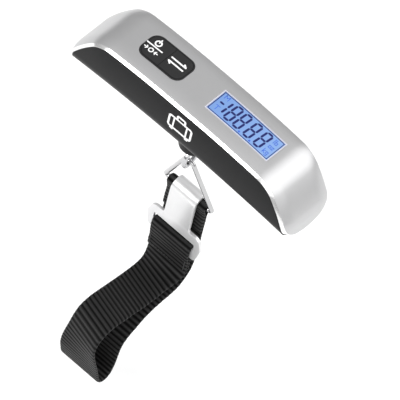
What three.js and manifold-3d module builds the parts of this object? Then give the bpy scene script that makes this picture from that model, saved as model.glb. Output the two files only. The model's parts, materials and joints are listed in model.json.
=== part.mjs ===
// Digital luggage scale: a T-shaped handle with a display, and a hook and webbing loop hanging under it.
// Millimetres, +Z up. +X runs along the handle from the keys to the display. The origin is the middle of
// the flat land on the handle's top face, between the keys and the display.
import * as THREE from 'three';
import { mergeVertices } from 'three/addons/utils/BufferGeometryUtils.js';
import Module from 'manifold-3d';

const wasm = await Module();
wasm.setup();

// ---- driving dimensions -------------------------------------------------------------------------
// Heights inside the model count from the level of the side faces' pointed ends (Z = 0 in HANDLE space).
const HALF_WIDTH = 18.8; // handle, across the two flat side faces
const SIDE_TOP = 24; // top edge of a side face, at mid-length
const FLAT_HALF = 10; // the flat land at mid-length
const BOW = { radius: 512, end: 53.8 }; // gentle bow of the top, up to this X
const BEND = { radius: 18, slope: 50 * Math.PI / 180 }; // where the top turns down
const SLOPE = { radius: 85, slope: 62 * Math.PI / 180 }; // long slope to the side face's point
const TURN = { radius: 12, slope: 88 * Math.PI / 180 }; // turn into the hanging tongue
const RIM = { width: 1.5, height: 1.5, edge: 0.3 }; // bright chamfer along the shell's long edges
const CROWN = { height: 1.6, flat: 9.5 }; // swell of the shell across its width
const SHELL_WALL = 1.9;
const BELLY = { depth: 14, arch: 3.4, half: 77.3 }; // half-elliptic underside, arched along its length
const BASE_WALL = 2;
const SEAM = 0.2; // joint line between shell and base
const GAP = 0.3; // clearance between pieces that move or are cut to each other
const TOP = SIDE_TOP + RIM.height + CROWN.height;

const KEYPAD = { x: -30, length: 31, width: 18, corner: 5.6, frame: 0.9 };
const DISPLAY = { x: 28.2, length: 46, width: 17.2, lip: 0.75 }; // the shell's window, and its frame's thin lip
const STACK = { glassTop: 22.3, glassBottom: 20.4 }; // the display glass on its backlight
const BOARD = { top: 17.5, thick: 1.2, x0: -46, x1: 54, half: 13 };
const DOOR = { x0: 28, x1: 56, half: 11.5, gap: 0.35 };
const CELL = { x: 42, radius: 10, top: -3.3, thick: 3.2 };

const NECK = { radius: 8.7, bore: 3.2, bottom: -21.3, flange: 10 };
const EYE = { shaft: 2.5, hole: 3.2, top: -28.9, wall: 2.8, thick: 2.4 };
const WIRE = 1.4; // radius of the ring's wire
const PIVOT = new THREE.Vector3(0, 0, -36.4); // the ring's wire in the eye
const BAR = new THREE.Vector3(0, 8.5, -74); // the ring's base bar
const RING = { apex: 1.2, half: 16.9, side: 2 }; // apex and base half-widths, and upright ends
const WEB = { half: 14.2, thick: 1.6 };
const PLATE = { y: 4, thick: 1.8, neck: 9, top: -96.2, ear: 19.4, foot: 17.4, slotTop: -102.6, bottom: -114.9 };
const LIP = 4; // how far the hook's curl reaches down behind the bar

// ---- solids -------------------------------------------------------------------------------------
// A closed three.js geometry as a manifold-3d solid.
function solid(geometry) {
  const bare = geometry.clone();
  bare.deleteAttribute('normal');
  bare.deleteAttribute('uv');
  const merged = mergeVertices(bare, 1e-4);
  return new wasm.Manifold(new wasm.Mesh({
    numProp: 3,
    vertProperties: new Float32Array(merged.attributes.position.array),
    triVerts: new Uint32Array(merged.index.array),
  }));
}

// A manifold-3d solid as a flat-shaded three.js geometry.
function geometryOf(shape) {
  const mesh = shape.getMesh();
  const indexed = new THREE.BufferGeometry();
  indexed.setAttribute('position', new THREE.BufferAttribute(new Float32Array(mesh.vertProperties), 3));
  indexed.setIndex(new THREE.BufferAttribute(new Uint32Array(mesh.triVerts), 1));
  const flat = indexed.toNonIndexed();
  flat.computeVertexNormals();
  return flat;
}

function box(x0, x1, y0, y1, z0, z1) {
  const geometry = new THREE.BoxGeometry(x1 - x0, y1 - y0, z1 - z0);
  return solid(geometry.translate((x0 + x1) / 2, (y0 + y1) / 2, (z0 + z1) / 2));
}

// An upright round bar between two heights.
function post(x, y, z0, z1, radius, sides = 20) {
  const geometry = new THREE.CylinderGeometry(radius, radius, z1 - z0, sides).rotateX(Math.PI / 2);
  return solid(geometry.translate(x, y, (z0 + z1) / 2));
}

// A round bar along X through a point.
function rodX(center, half, radius, sides = 20) {
  const geometry = new THREE.CylinderGeometry(radius, radius, 2 * half, sides).rotateZ(Math.PI / 2);
  return solid(geometry.translate(center.x, center.y, center.z));
}

// A turned piece about the upright axis, from [radius, z] pairs that run upwards from axis to axis.
function turned(x, y, profile, sides = 24) {
  const points = profile.map(([r, z]) => new THREE.Vector2(r, z));
  return solid(new THREE.LatheGeometry(points, sides).rotateX(Math.PI / 2).translate(x, y, 0));
}

// A flat outline given in X and Y, raised between two heights.
function raised(shape, z0, z1, curveSegments = 6) {
  const geometry = new THREE.ExtrudeGeometry(shape, { depth: z1 - z0, bevelEnabled: false, curveSegments });
  return solid(geometry.translate(0, 0, z0));
}

// A flat outline given in X and Z, carried across Y.
function across(shape, y0, y1, curveSegments = 6) {
  const geometry = new THREE.ExtrudeGeometry(shape, { depth: y1 - y0, bevelEnabled: false, curveSegments });
  return solid(geometry.rotateX(Math.PI / 2).translate(0, y1, 0));
}

// A flat outline given in Y and Z, carried along X.
function along(shape, x0, x1, curveSegments = 6) {
  const geometry = new THREE.ExtrudeGeometry(shape, { depth: x1 - x0, bevelEnabled: false, curveSegments });
  return solid(geometry.rotateX(Math.PI / 2).rotateZ(Math.PI / 2).translate(x0, 0, 0));
}

function polygon(points) {
  return new THREE.Shape(points.map(([a, b]) => new THREE.Vector2(a, b)));
}

function roundedRect(x0, x1, y0, y1, r) {
  const shape = new THREE.Shape();
  shape.moveTo(x0 + r, y0);
  shape.lineTo(x1 - r, y0);
  shape.absarc(x1 - r, y0 + r, r, -Math.PI / 2, 0);
  shape.lineTo(x1, y1 - r);
  shape.absarc(x1 - r, y1 - r, r, 0, Math.PI / 2);
  shape.lineTo(x0 + r, y1);
  shape.absarc(x0 + r, y1 - r, r, Math.PI / 2, Math.PI);
  shape.lineTo(x0, y0 + r);
  shape.absarc(x0 + r, y0 + r, r, Math.PI, 1.5 * Math.PI);
  return shape;
}

// A round wire along a curve.
function wire(points, radius, steps, sides = 8, closed = false) {
  const curve = new THREE.CatmullRomCurve3(points, closed, 'centripetal');
  const section = new THREE.Shape().absarc(0, 0, radius, 0, 2 * Math.PI);
  const options = { steps, extrudePath: curve, bevelEnabled: false, curveSegments: sides };
  return solid(new THREE.ExtrudeGeometry(section, options));
}

// A solid between two surfaces that share one grid of rows and columns.
function slab(upper, lower) {
  const rows = upper.length;
  const columns = upper[0].length;
  const vertices = [...upper.flat(), ...lower.flat()];
  const up = (i, j) => i * columns + j;
  const low = (i, j) => rows * columns + i * columns + j;
  const faces = [];
  const quad = (a, b, c, d) => faces.push([a, b, c], [a, c, d]);
  for (let i = 0; i < rows - 1; i++) {
    for (let j = 0; j < columns - 1; j++) {
      quad(up(i, j), up(i + 1, j), up(i + 1, j + 1), up(i, j + 1));
      quad(low(i, j), low(i, j + 1), low(i + 1, j + 1), low(i + 1, j));
    }
    quad(low(i, 0), low(i + 1, 0), up(i + 1, 0), up(i, 0));
    quad(up(i, columns - 1), up(i + 1, columns - 1), low(i + 1, columns - 1), low(i, columns - 1));
  }
  for (let j = 0; j < columns - 1; j++) {
    quad(low(0, j + 1), low(0, j), up(0, j), up(0, j + 1));
    quad(low(rows - 1, j), low(rows - 1, j + 1), up(rows - 1, j + 1), up(rows - 1, j));
  }
  const geometry = new THREE.BufferGeometry();
  geometry.setAttribute('position', new THREE.Float32BufferAttribute(vertices.flatMap((v) => v.toArray()), 3));
  geometry.setIndex(faces.flat());
  return solid(geometry);
}

// ---- the handle's side profile --------------------------------------------------------------------
// The side face's top edge as a chain of arcs from the middle outwards. Each arc runs from one slope to
// the next, and the last leg is straight.
const ARCS = [
  { radius: BOW.radius, from: 0, to: (BOW.end - FLAT_HALF) / BOW.radius },
  { radius: BEND.radius, from: (BOW.end - FLAT_HALF) / BOW.radius, to: BEND.slope },
  { radius: SLOPE.radius, from: BEND.slope, to: SLOPE.slope },
  { radius: TURN.radius, from: SLOPE.slope, to: TURN.slope },
];

// The profile's point at a distance from mid-length, and its slope there.
function profile(distance) {
  let x = Math.min(distance, FLAT_HALF);
  let z = SIDE_TOP;
  let left = distance - x;
  let slope = 0;
  for (const arc of ARCS) {
    const turn = Math.min(left / arc.radius, arc.to - arc.from);
    slope = arc.from + turn;
    x += arc.radius * (Math.sin(slope) - Math.sin(arc.from));
    z -= arc.radius * (Math.cos(arc.from) - Math.cos(slope));
    left -= turn * arc.radius;
    if (left <= 1e-9) return { x, z, slope };
  }
  return { x: x + left * Math.cos(slope), z: z - left * Math.sin(slope), slope };
}

// A point at a signed distance along the handle, across it, and at a height above the profile.
function surface(distance, y, height) {
  const p = profile(Math.abs(distance));
  const side = Math.sign(distance) || 1;
  return new THREE.Vector3(side * (p.x + height * Math.sin(p.slope)), y, p.z + height * Math.cos(p.slope));
}

const LENGTHS = [FLAT_HALF];
let reached = FLAT_HALF;
for (const arc of ARCS) {
  reached += (arc.to - arc.from) * arc.radius;
  LENGTHS.push(reached);
}
const POINT = LENGTHS[3]; // distance along the profile of the side face's pointed end

// Stations along the handle, close together where the profile bends.
function stations(end) {
  const list = [-6, 6];
  const counts = [6, 6, 4, 2];
  for (let k = 0; k < 4; k++) {
    for (let i = 0; i < counts[k]; i++) {
      const s = LENGTHS[k] + (LENGTHS[k + 1] - LENGTHS[k]) * i / counts[k];
      if (s < end) list.push(s, -s);
    }
  }
  list.push(end, -end);
  return list.sort((a, b) => a - b);
}

// Height of the shell's outer skin above the profile, away from its rim.
function skin(y) {
  const edge = HALF_WIDTH - RIM.width;
  const t = Math.max(Math.abs(y) - CROWN.flat, 0) / (edge - CROWN.flat);
  return RIM.height + CROWN.height * (1 - t * t);
}

// A layer of the shell between two depths under its outer skin, over the bowed part only.
function layer(above, below, half = 14) {
  const columns = [-1, -0.68, 0.68, 1].map((t) => t * half);
  const sheet = (depth) => stations(58).map((s) => columns.map((y) => surface(s, y, skin(y) - depth)));
  return slab(sheet(above), sheet(below));
}

// The inside of the side profile, lowered by a depth, as a solid across the handle.
function envelope(depth, half, floor = -30) {
  const points = stations(POINT + 26).map((s) => surface(s, 0, -depth)).map((p) => [p.x, p.z]);
  const last = points[points.length - 1][0];
  return across(polygon([...points, [last, floor], [-last, floor]].reverse()), -half, half);
}

// The handle's D section, inset by a wall, carried between two X positions.
function section(inset, x0, x1, top) {
  const steps = 14;
  const arc = 14;
  const half = HALF_WIDTH - inset;
  const depth = BELLY.depth - inset;
  const upper = [];
  const lower = [];
  for (let i = 0; i <= steps; i++) {
    const x = x0 + (x1 - x0) * i / steps;
    const low = BELLY.arch * (1 - (x / BELLY.half) ** 2);
    const row = Array.from({ length: arc + 1 }, (_, j) => Math.PI * j / arc);
    upper.push(row.map((a) => new THREE.Vector3(x, -half * Math.cos(a), top)));
    lower.push(row.map((a) => new THREE.Vector3(x, -half * Math.cos(a), low - depth * Math.sin(a))));
  }
  return slab(upper, lower);
}

// ---- materials ------------------------------------------------------------------------------------
const finish = (color, roughness, metalness) => new THREE.MeshStandardMaterial({ color, roughness, metalness });
const SILVER = finish(0xb9b9ba, 0.35, 0.7);
const BLACK = finish(0x3a3a3b, 0.55, 0);
const KEY_BLACK = finish(0x1d1d1e, 0.45, 0);
const CLEAR = finish(0xdfe9ff, 0.1, 0);
const BACKLIT = finish(0x7fb0ff, 0.5, 0);
const WHITE_PLASTIC = finish(0xe8e8e4, 0.5, 0);
const RUBBER = finish(0xa8a8b0, 0.8, 0);
const GREEN_BOARD = finish(0x1f6b3a, 0.5, 0);
const STEEL = finish(0xc9cacc, 0.25, 1);
const SPRING_STEEL = finish(0xd0c9b8, 0.3, 1);
const ALUMINIUM = finish(0xbfc3c8, 0.4, 0.9);
const GAUGE_FILM = finish(0xc98a2e, 0.6, 0);
const RED_WIRE = finish(0xb02020, 0.6, 0);
const BLACK_WIRE = finish(0x202020, 0.6, 0);
const WEBBING = finish(0x232323, 0.9, 0);

// ---- handle covers --------------------------------------------------------------------------------
const SHELL_SCREWS = [[-57, -9], [-57, 9], [57, -9], [57, 9]];
const BOARD_SCREWS = [[-3.5, -10], [-3.5, 10]];
const BOSS_BOTTOM = 12;

function topShell() {
  const edge = HALF_WIDTH - RIM.width;
  const tongue = { long: BELLY.depth, short: BELLY.depth - RIM.width };
  const marks = [-1, -0.86, -0.72, -0.59, 0, 0.59, 0.72, 0.86, 1];
  const upper = [];
  const lower = [];
  const row = (outer, inner, half, top) => {
    const inside = marks.map((t) => t * top);
    upper.push([surface(outer, -half, RIM.edge), ...inside.map((y) => surface(inner, y, skin(y))),
      surface(outer, half, RIM.edge)]);
    lower.push([surface(outer, -half, 0), ...inside.map((y) => surface(inner, y * 0.985,
      Math.max(0, skin(y) - SHELL_WALL))), surface(outer, half, 0)]);
  };
  const round = [0.14, 0.3, 0.45, 0.6, 0.75, 0.88, 0.96].map((t) => t * Math.PI / 2);
  for (const a of [...round].reverse()) {
    row(-POINT - tongue.long * Math.sin(a), -POINT - tongue.short * Math.sin(a),
      HALF_WIDTH * Math.cos(a), edge * Math.cos(a));
  }
  for (const s of stations(POINT)) row(s, s, HALF_WIDTH, edge);
  for (const a of round) {
    row(POINT + tongue.long * Math.sin(a), POINT + tongue.short * Math.sin(a),
      HALF_WIDTH * Math.cos(a), edge * Math.cos(a));
  }
  let shell = slab(upper, lower);
  for (const [x, y] of SHELL_SCREWS) {
    const boss = post(x, y, BOSS_BOTTOM, TOP, 3, 12).intersect(envelope(-1.8, 30));
    shell = shell.add(boss).subtract(post(x, y, BOSS_BOTTOM - 1, 18, 1.3, 10));
  }
  for (const [x, y] of BOARD_SCREWS) {
    shell = shell.add(post(x, y, BOARD.top + SEAM, TOP - 1, 2.6, 12));
    shell = shell.subtract(post(x, y, BOARD.top - 1, 23.5, 1.2, 10));
  }
  const window = box(DISPLAY.x - DISPLAY.length / 2, DISPLAY.x + DISPLAY.length / 2,
    -DISPLAY.width / 2, DISPLAY.width / 2, 18, 40);
  const keys = raised(roundedRect(KEYPAD.x - KEYPAD.length / 2, KEYPAD.x + KEYPAD.length / 2,
    -KEYPAD.width / 2, KEYPAD.width / 2, KEYPAD.corner), 18, 40);
  return shell.subtract(window).subtract(keys);
}

const POCKET = polygon([[60, 40], [-60, 40], [-60, 17.5], [-66, 10], [-71, 1], [-72.6, -6], [-72.6, -20],
  [72.6, -20], [72.6, -6], [71, 1], [66, 10], [60, 17.5]]);

function baseHousing() {
  const outside = section(0, -80, 80, 40);
  let base = outside.intersect(envelope(SEAM, 30));
  base = base.subtract(section(BASE_WALL, -80, 80, 40).intersect(across(POCKET, -30, 30)));
  for (const [x, y] of SHELL_SCREWS) {
    base = base.add(post(x, y, -9, BOSS_BOTTOM - SEAM, 3.6, 12).intersect(outside));
    base = base.subtract(post(x, y, -20, -2, 2.9, 14)).subtract(post(x, y, -4, 20, 1.7, 10));
  }
  base = base.add(post(0, 0, -12, -5.5, NECK.flange + 1).intersect(outside));
  base = base.subtract(post(0, 0, -20, 0, NECK.radius + GAP));
  for (const x of [-LOAD_BAR.screw, LOAD_BAR.screw]) {
    base = base.add(box(x - 5, x + 5, -6.5, 6.5, -10, LOAD_BAR.bottom - 0.1).intersect(outside));
    base = base.subtract(post(x, 0, -5, 5, 1.8, 12));
  }
  return base.subtract(box(DOOR.x0, DOOR.x1, -DOOR.half, DOOR.half, -30, -2));
}

function batteryDoor() {
  const g = DOOR.gap;
  const skinOnly = section(0, DOOR.x0 + g, DOOR.x1 - g, 40).subtract(section(1.8, DOOR.x0, DOOR.x1, 41));
  let door = skinOnly.intersect(box(DOOR.x0 + g, DOOR.x1 - g, -DOOR.half + g, DOOR.half - g, -30, -2));
  for (const y of [-4, 4]) {
    door = door.add(box(DOOR.x0 + g, DOOR.x0 + 2, y - 1.8, y + 1.8, -10, -6.6)); // riser of a hook
    door = door.add(box(DOOR.x0 - 1.8, DOOR.x0 + 2, y - 1.8, y + 1.8, -7.8, -6.6)); // hook over the floor's edge
  }
  return door.subtract(box(DOOR.x1 - 3.4, DOOR.x1 - 1.8, -5, 5, -20, -10.9)); // fingernail groove
}

// A cross-head screw: the head's bearing face is at one height and the shank's tip at another.
function screw(x, y, bearing, tip, radius, headRadius, headHeight) {
  const up = Math.sign(tip - bearing); // the way the shank points
  const crown = bearing - up * headHeight; // the head's far face
  const span = (a, b) => [Math.min(a, b), Math.max(a, b)];
  const body = post(x, y, ...span(crown + up * 0.8, tip), radius, 10).add(post(x, y, ...span(crown, bearing),
    headRadius, 14));
  const arm = headRadius * 0.65;
  const recess = span(crown - up, crown + up * 0.6);
  return body.subtract(box(x - arm, x + arm, y - 0.3, y + 0.3, ...recess))
    .subtract(box(x - 0.3, x + 0.3, y - arm, y + arm, ...recess));
}

// ---- keys and display -----------------------------------------------------------------------------
function keyOutline(inset, x0, x1) {
  const half = KEYPAD.length / 2 - inset;
  const width = KEYPAD.width / 2 - inset;
  const all = raised(roundedRect(KEYPAD.x - half, KEYPAD.x + half, -width, width, KEYPAD.corner - inset), 10, 40);
  return all.intersect(box(x0, x1, -20, 20, 5, 45));
}

function keypadBezel() {
  const outer = keyOutline(0.15, -60, 0);
  const inner = keyOutline(KEYPAD.frame, -60, 0);
  return layer(-0.1, 2.4).intersect(outer).subtract(inner);
}

function key(side) {
  const split = GAP / 2;
  const [x0, x1] = side < 0 ? [-60, KEYPAD.x - split] : [KEYPAD.x + split, 0];
  const cap = layer(-0.2, 3.4).intersect(keyOutline(KEYPAD.frame + GAP, x0, x1));
  const flange = layer(2.8, 3.4).intersect(keyOutline(0.4, x0, x1));
  return cap.add(flange).add(post(KEYPAD.x + side * 6.6, 0, BOARD.top + 4.9, 24, 1.8, 12));
}

function keySwitch(side) {
  const x = KEYPAD.x + side * 6.6;
  const body = box(x - 3, x + 3, -3, 3, BOARD.top + 0.1, BOARD.top + 3.4);
  return body.add(post(x, 0, BOARD.top + 3, BOARD.top + 4.3, 1.6, 12));
}

const around = (length, width, z0, z1) => box(DISPLAY.x - length / 2, DISPLAY.x + length / 2,
  -width / 2, width / 2, z0, z1);

function lcdLens() {
  const edge = 2 * (DISPLAY.lip + 0.25);
  return layer(0.25, 1.7).intersect(around(DISPLAY.length - edge, DISPLAY.width - edge, 10, 40));
}

// Holds the glass and backlight on the board, and shows as a thin pale lip round the lens.
function lcdFrame() {
  const wall = around(49, 20.4, BOARD.top + 0.1, STACK.glassTop + 0.3).subtract(around(46.4, 18, 10, 30));
  const flange = around(49, 20.4, STACK.glassTop + 0.2, STACK.glassTop + 0.7);
  const lip = layer(0.05, 7).intersect(around(DISPLAY.length - 0.2, DISPLAY.width - 0.2, STACK.glassTop + 0.2, 40));
  const hole = around(DISPLAY.length - 2 * DISPLAY.lip, DISPLAY.width - 2 * DISPLAY.lip, 10, 40);
  return wall.add(flange.add(lip).subtract(hole));
}

const lcdPanel = () => around(45.6, 17.2, STACK.glassBottom, STACK.glassTop);
const lcdBacklight = () => around(45.6, 12.6, BOARD.top + 0.1, STACK.glassBottom - 0.2);
const zebraStrip = () => box(DISPLAY.x - 21, DISPLAY.x + 21, 6.7, 8.5, BOARD.top + 0.1, STACK.glassBottom - 0.1);

// ---- electronics ----------------------------------------------------------------------------------
function circuitBoard() {
  let board = box(BOARD.x0, BOARD.x1, -BOARD.half, BOARD.half, BOARD.top - BOARD.thick, BOARD.top);
  for (const [x, y] of BOARD_SCREWS) board = board.subtract(post(x, y, 10, 20, 1.3, 12));
  return board;
}

function batteryHolder() {
  const tray = box(CELL.x - 13, CELL.x + 11, -12, 12, -2.2, -0.6);
  const ring = post(CELL.x, 0, -5.6, -2, 11.8, 28).subtract(post(CELL.x, 0, -7, -2.2, CELL.radius + GAP, 28));
  const notch = box(CELL.x - 20, CELL.x - 8, -3, 3, -7, -2.3); // lets the positive clip reach the cell's side
  return tray.add(ring).subtract(notch).subtract(post(CELL.x, 0, -4, 0, 2.2, 12));
}

const coinCell = () => post(CELL.x, 0, CELL.top - CELL.thick, CELL.top, CELL.radius, 32);

function positiveContact() {
  const side = CELL.x - CELL.radius - 0.15;
  return box(side - 0.5, side, -2.6, 2.6, -6.2, -2.5).add(box(side - 3.5, side, -2.6, 2.6, -3, -2.5))
    .add(box(side - 3.5, side - 3, -2.6, 2.6, -3, 1.4));
}

function negativeContact() {
  return box(CELL.x - 1.6, CELL.x + 1.6, -1.2, 1.2, CELL.top + 0.15, CELL.top + 0.55)
    .add(box(CELL.x - 0.8, CELL.x + 0.8, -0.8, 0.8, CELL.top + 0.15, 1.2));
}

// ---- load path ------------------------------------------------------------------------------------
const LOAD_BAR = { half: 26, width: 6, bottom: -2.6, top: 4, screw: 21 };

function loadCell() {
  let bar = box(-LOAD_BAR.half, LOAD_BAR.half, -LOAD_BAR.width, LOAD_BAR.width, LOAD_BAR.bottom, LOAD_BAR.top);
  bar = bar.subtract(post(0, 0, -10, 10, EYE.shaft + GAP, 16));
  for (const x of [-LOAD_BAR.screw, LOAD_BAR.screw]) bar = bar.subtract(post(x, 0, -10, 10, 1.9, 12));
  for (const side of [-1, 1]) {
    for (const x of [9, 13.5]) { // pairs of cross holes make the thin beams that bend
      const hole = new THREE.CylinderGeometry(2.5, 2.5, 20, 16).translate(side * x, 0, 0.7);
      bar = bar.subtract(solid(hole));
    }
  }
  return bar;
}

function neckCollar() {
  const { radius, bottom, flange } = NECK;
  const body = turned(0, 0, [[0, bottom], [radius - 1.7, bottom], [radius - 0.5, bottom + 0.5], [radius, bottom + 1.7],
    [radius, -5.2], [flange, -5.2], [flange, -3.8], [0, -3.8]]);
  return body.subtract(post(0, 0, -40, 0, NECK.bore, 20));
}

function stadium(half, z0, z1) {
  const shape = new THREE.Shape();
  shape.absarc(0, z0 + half, half, Math.PI, 2 * Math.PI);
  shape.absarc(0, z1 - half, half, 0, Math.PI);
  return shape;
}

function loadEye() {
  const bottom = PIVOT.z - WIRE - 0.1;
  const outer = along(stadium(EYE.hole + EYE.wall, bottom - EYE.wall, EYE.top + EYE.wall), -EYE.thick / 2,
    EYE.thick / 2, 10);
  const hole = along(stadium(EYE.hole, bottom, EYE.top), -5, 5, 10);
  const shaft = post(0, 0, EYE.top + 1, 8.6, EYE.shaft, 20);
  const collar = turned(0, 0, [[0, -26.6], [3.6, -26.6], [4.4, -25.4], [4.4, -22.8], [3.6, -21.6], [0, -21.6]], 20);
  return outer.add(collar).subtract(hole).add(shaft);
}

function shaftNut() {
  return post(0, 0, LOAD_BAR.top + 0.9, 8.3, 4.4, 6).subtract(post(0, 0, 0, 12, EYE.shaft + 0.1, 20));
}

function thrustWasher() {
  return post(0, 0, LOAD_BAR.top + 0.1, LOAD_BAR.top + 0.8, 5, 24).subtract(post(0, 0, 0, 12, EYE.shaft + GAP, 20));
}

// A triangular ring of wire: a short straight apex in the eye, two legs, and a long base bar.
function wireRing() {
  const lean = Math.atan2(BAR.y - PIVOT.y, PIVOT.z - BAR.z);
  const height = Math.hypot(BAR.y - PIVOT.y, PIVOT.z - BAR.z);
  const base = height - RING.side;
  const leg = (share) => [RING.apex + 2 + (RING.half - RING.apex - 2) * share, 1.5 + (base - 1.5) * share];
  const corner = [[RING.half - 0.1, height - 1.3], [RING.half - 0.7, height - 0.3], [RING.half - 2, height]];
  const bend = [[RING.apex, 0], [RING.apex + 0.9, 0.2], [RING.apex + 1.6, 0.75], leg(0)];
  const right = [[0, 0], ...bend, leg(0.15), leg(0.5), leg(0.95), ...corner, [RING.half - 4, height]];
  const left = right.slice(1).reverse().map(([x, d]) => [-x, d]);
  const points = [...right, [0, height], ...left].map(([x, d]) => new THREE.Vector3(x, 0, -d));
  const ring = geometryOf(wire(points, WIRE, 64, 5, true));
  return solid(ring.rotateX(lean).translate(PIVOT.x, PIVOT.y, PIVOT.z));
}

// ---- hook and webbing -----------------------------------------------------------------------------
const WRAP = { inner: WIRE + GAP, outer: WIRE + GAP + WEB.thick };
const LOWER_BAR = { top: -107.4, bottom: PLATE.bottom };

function hookPlate() {
  const front = PLATE.y - PLATE.thick / 2;
  const back = PLATE.y + PLATE.thick / 2;
  const frame = raisedFrame().intersect(box(-30, 30, front, back, -200, 0));
  const neck = box(-PLATE.neck, PLATE.neck, front, back, PLATE.top - 2, BAR.z);
  const outer = BAR.y - front;
  const curl = rodX(BAR, PLATE.neck, outer, 40).subtract(rodX(BAR, PLATE.neck + 1, outer - PLATE.thick, 40))
    .subtract(box(-30, 30, 0, 30, BAR.z - 20, BAR.z));
  const lipFront = BAR.y + outer - PLATE.thick;
  const lip = box(-PLATE.neck, PLATE.neck, lipFront, lipFront + PLATE.thick, BAR.z - LIP, BAR.z);
  return frame.add(neck).add(curl).add(lip);
}

// The flat cross frame: rounded shoulders and ears round a wide slot.
function raisedFrame() {
  const [corner, foot] = [6, 2.6];
  const widest = PLATE.top - 8; // the ears are widest here and taper to their feet
  const outline = new THREE.Shape();
  outline.moveTo(-PLATE.foot + foot, PLATE.bottom);
  outline.lineTo(PLATE.foot - foot, PLATE.bottom);
  outline.quadraticCurveTo(PLATE.foot, PLATE.bottom, PLATE.foot + 0.2, PLATE.bottom + foot);
  outline.lineTo(PLATE.ear, widest);
  outline.bezierCurveTo(PLATE.ear, PLATE.top - 3, PLATE.ear - corner / 2, PLATE.top, PLATE.ear - corner, PLATE.top);
  outline.lineTo(-PLATE.ear + corner, PLATE.top);
  outline.bezierCurveTo(-PLATE.ear + corner / 2, PLATE.top, -PLATE.ear, PLATE.top - 3, -PLATE.ear, widest);
  outline.lineTo(-PLATE.foot - 0.2, PLATE.bottom + foot);
  outline.quadraticCurveTo(-PLATE.foot, PLATE.bottom, -PLATE.foot + foot, PLATE.bottom);
  const slot = roundedRect(-WEB.half - 0.6, WEB.half + 0.6, LOWER_BAR.top, PLATE.slotTop, 0.8);
  return across(outline, 0, 10).subtract(across(slot, -5, 15));
}

// A strip of webbing: a centre line in Y and Z, thickened and carried across the strap's width.
function strip(points, thick, steps, half = WEB.half) {
  const curve = new THREE.CatmullRomCurve3(points.map(([y, z]) => new THREE.Vector3(0, y, z)), false, 'centripetal');
  const upper = [];
  const lower = [];
  for (let i = 0; i <= steps; i++) {
    const p = curve.getPoint(i / steps);
    const t = curve.getTangent(i / steps);
    const n = new THREE.Vector3(0, -t.z, t.y).multiplyScalar(thick / 2);
    upper.push([p.clone().add(n).setX(-half), p.clone().add(n).setX(half)]);
    lower.push([p.clone().sub(n).setX(-half), p.clone().sub(n).setX(half)]);
  }
  const made = slab(upper, lower);
  return made.volume() > 0 ? made : slab(lower, upper);
}

const HOOK_END = -129.4; // the sewn overlap under the hook stops at this height
const FRONT = [[4.4, -129.8], [2, -134], [-3.1, -137], [-11, -138.3], [-20.6, -137.8], [-35.4, -135.2],
  [-48.6, -133.2], [-56.5, -135.4], [-61, -141.4], [-61.9, -148.5], [-60.3, -163], [-57.3, -174.9]];
const LOOP_END = [[-56, -179], [-52.5, -181.6], [-48, -181], [-45, -177.4]];
const BACK = [[-44.3, -172.9], [-43.1, -165.7], [-42, -158.6], [-39.1, -153.1], [-33, -148.8], [-27, -145],
  [-20.5, -142.6], [-13.9, -141.4], [-6.9, -140.8], [0.5, -138.8], [6.5, -132.4], [9.2, -122.4], [9.6, -110.4],
  [9.2, -97.4], [8.5, -89.4]];
const SEWN = -95.4; // the plies under the ring's bar are sewn together down to this height

function strapLoop() {
  const run = strip([...FRONT, ...LOOP_END, ...BACK], WEB.thick, 64);
  const plies = strip([[8.5, BAR.z - 1], [8.5, -87.4], [8.8, SEWN]], 2 * WEB.thick, 4);
  const wrap = rodX(BAR, WEB.half, WRAP.outer, 24);
  return run.add(plies).add(wrap).subtract(rodX(BAR, 30, WRAP.inner, 24));
}

// The webbing's other end, folded round the hook's lower bar and sewn to itself.
function strapHookEnd() {
  const halfThick = PLATE.thick / 2 + GAP + WEB.thick;
  const top = LOWER_BAR.top + GAP;
  const bottom = LOWER_BAR.bottom - GAP;
  const outer = polygon([[PLATE.y - halfThick, top], [PLATE.y - 1.6, top + WEB.thick], [PLATE.y + 1.6, top + WEB.thick],
    [PLATE.y + halfThick, top], [PLATE.y + halfThick, bottom], [PLATE.y + 2, bottom - 5], [PLATE.y + 2, HOOK_END],
    [PLATE.y - 1.2, HOOK_END], [PLATE.y - 1.2, bottom - 5], [PLATE.y - halfThick, bottom]].reverse());
  const inside = halfThick - WEB.thick;
  const eye = polygon([[PLATE.y - inside, top], [PLATE.y + inside, top], [PLATE.y + inside, bottom],
    [PLATE.y + 0.4, bottom - 2], [PLATE.y - inside, bottom]].reverse());
  return along(outer, -WEB.half, WEB.half).subtract(along(eye, -30, 30));
}

// ---- wires ----------------------------------------------------------------------------------------
const path = (points) => points.map((p) => new THREE.Vector3(...p));
const cellCable = () => wire(path([[16, 3, 4.9], [17.5, 4.5, 7], [16, 7, 11], [12, 9, 13.5], [11.6, 9.2, 15.7]]), 0.8, 10, 3);
const positiveLead = () => wire(path([[27.6, 0, 1.9], [27, 3, 6], [24, 7, 11], [23.6, 7.2, 15.9]]), 0.55, 8, 3);
const negativeLead = () => wire(path([[42, 0, 1.8], [42, -3, 6], [38, -6, 11], [37.6, -6.2, 15.9]]), 0.55, 8, 3);

// ---- assembly -------------------------------------------------------------------------------------
const scale = new THREE.Group();
scale.position.z = -TOP; // the top land becomes Z = 0

function place(name, shape, material) {
  const mesh = new THREE.Mesh(geometryOf(shape), material);
  mesh.name = name;
  scale.add(mesh);
}

place('top_shell', topShell(), SILVER);
place('base_housing', baseHousing(), BLACK);
place('battery_door', batteryDoor(), BLACK);
place('neck_collar', neckCollar(), BLACK);
SHELL_SCREWS.forEach(([x, y], i) => place(`housing_screw_${i + 1}`, screw(x, y, -3.9, 16, 1, 2.3, 1.6), STEEL));

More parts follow.
